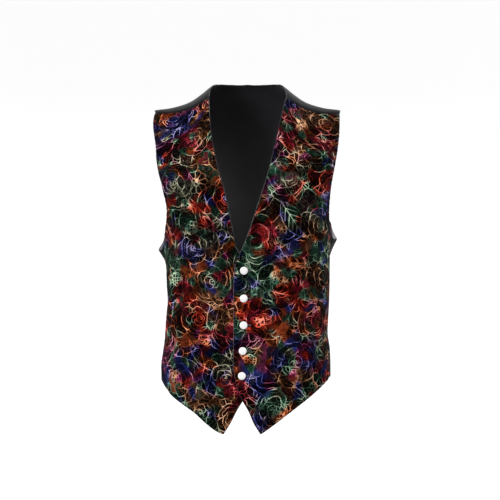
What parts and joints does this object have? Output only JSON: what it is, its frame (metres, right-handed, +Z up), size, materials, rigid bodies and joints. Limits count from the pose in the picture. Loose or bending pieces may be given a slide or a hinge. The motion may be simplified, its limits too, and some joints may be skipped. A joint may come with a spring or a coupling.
{
  "type": "waistcoat",
  "caption": "Buttoned V-neck waistcoat in worn form, with patterned velvet fronts that end in points and a plain satin back.",
  "frame": {"origin": "where a wearer's shoulders carry it: midway between the neck's sides, on the line of the shoulder ridge", "axes": "+Z up, -Y the way the wearer faces, +X towards the wearer's left"},
  "size_m": [0.3795, 0.2447, 0.7074],
  "materials": {
    "velvet": "cut pile velvet with a burnt-out pattern of bright outlines",
    "satin": "smooth black satin",
    "pearl": "glossy pearl white"
  },
  "bodies": {
    "root": {"front_left": "velvet", "front_right": "velvet", "back": "satin", "button_1": "pearl", "button_2": "pearl", "button_3": "pearl", "button_4": "pearl", "button_5": "pearl"}
  },
  "joints": []
}
